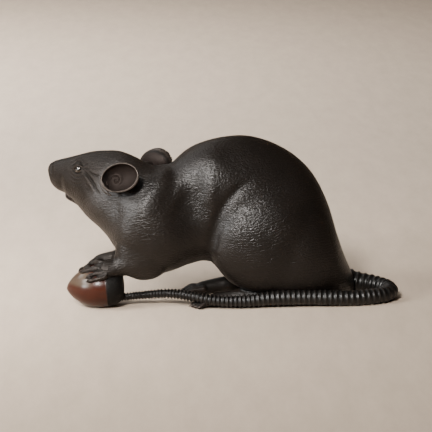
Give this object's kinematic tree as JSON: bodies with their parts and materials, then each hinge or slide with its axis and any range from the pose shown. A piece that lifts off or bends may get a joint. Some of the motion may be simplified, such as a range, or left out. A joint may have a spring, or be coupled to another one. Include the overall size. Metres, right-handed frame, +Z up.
{
  "type": "okimono",
  "caption": "Seated bronze rat with its head turned, forepaws on a chestnut and a long ringed tail curled round one side.",
  "frame": {"origin": "middle of the figure's outline on the floor that it rests on", "axes": "+X from the nose to the tail, +Y away from the side that the tail curls round, +Z up"},
  "size_m": [0.1934, 0.075, 0.0942],
  "materials": {
    "rat": "cast bronze, chased fur, dark brown-black patina, hand polished on the high places",
    "chestnut": "bronze with a polished red-brown patina and a dark rough scar",
    "eyes": "inlaid gilt bead with a black pupil"
  },
  "bodies": {
    "root": {"rat": "rat", "chestnut": "chestnut", "eye_left": "eyes", "eye_right": "eyes"}
  },
  "joints": []
}
